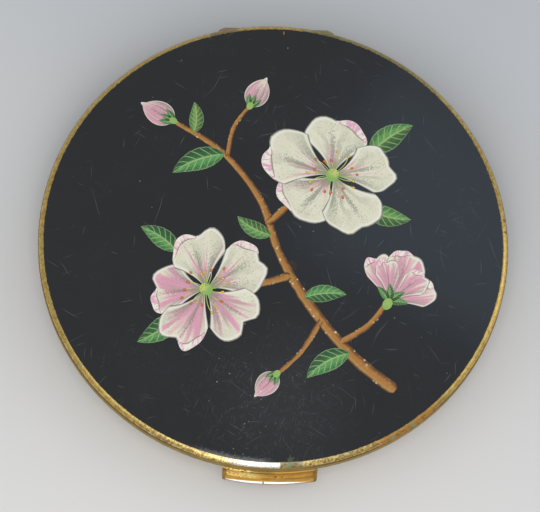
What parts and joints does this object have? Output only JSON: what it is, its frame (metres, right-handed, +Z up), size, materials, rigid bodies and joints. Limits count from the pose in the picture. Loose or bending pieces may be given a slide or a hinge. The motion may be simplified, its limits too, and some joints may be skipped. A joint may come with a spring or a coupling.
{
  "type": "compact mirror",
  "caption": "Round hinged powder compact: black enamel lid in a thin gilt rim, mirror inside the lid, self-opening inner lid over a powder well with sifter and puff, front thumb catch",
  "frame": {"origin": "middle of the base's flat underside, on the axis of the round case", "axes": "+Z up through the lid, the front with the thumb catch toward -Y, the hinge toward +Y, +X to the right seen from the front"},
  "size_m": [0.083, 0.0846, 0.0143],
  "materials": {
    "worn_gilt_brass": "worn gilt over brass, dulled, pitted and nicked along the rim",
    "catch_gilt_brass": "warm gilt brass, rubbed bright on the lip",
    "inner_gilt_brass": "clean satin gilt brass, kept inside the case",
    "spring_steel": "plain bright steel",
    "black_enamel": "glossy black baked enamel with a printed flower spray, finely scratched",
    "mirror_glass": "silvered glass",
    "backing_card": "grey-brown backing card",
    "gauze": "fine stretched gauze",
    "puff_velour": "short velour pile, dusty with powder",
    "satin_ribbon": "satin ribbon with woven edges"
  },
  "bodies": {
    "base": {"base_shell": "worn_gilt_brass", "inner_frame": "inner_gilt_brass", "powder_well": "inner_gilt_brass", "base_hinge_leaf": "worn_gilt_brass", "hinge_pin": "spring_steel", "inner_hinge_bracket": "inner_gilt_brass", "inner_hinge_pin": "spring_steel", "inner_lid_springs": "spring_steel", "catch_spring": "spring_steel", "catch_posts": "inner_gilt_brass", "sifter_frame": "inner_gilt_brass", "sifter_gauze": "gauze", "puff_pad": "puff_velour", "puff_ribbon": "satin_ribbon"},
    "lid": {"lid_shell": "worn_gilt_brass", "enamel_panel": "black_enamel", "mirror_card": "backing_card", "mirror_glass": "mirror_glass", "mirror_bezel": "inner_gilt_brass", "lid_hinge_leaf": "worn_gilt_brass", "lid_striker": "inner_gilt_brass"},
    "inner_lid": {"inner_lid": "inner_gilt_brass"},
    "thumb_catch": {"thumb_catch": "catch_gilt_brass", "catch_slide": "spring_steel", "catch_rivets": "spring_steel"}
  },
  "joints": [
    {"name": "lid_hinge", "type": "hinge", "parent": "base", "child": "lid", "pos_m": [0, 0.0405, 0.011], "axis": [-1, 0, 0], "range_deg": [0, 110]},
    {"name": "inner_lid_hinge", "type": "hinge", "parent": "base", "child": "inner_lid", "pos_m": [0, 0.03475, 0.01035], "axis": [-1, 0, 0], "range_deg": [0, 55]},
    {"name": "catch_press", "type": "slide", "parent": "base", "child": "thumb_catch", "axis": [0, 1, 0], "range_m": [0, 0.0006], "stiffness_N_per_m": 500, "springref_m": -0.0006}
  ],
  "couplings": [
    {"joint": "inner_lid_hinge", "follows": "lid_hinge", "ratio": 0.5}
  ]
}
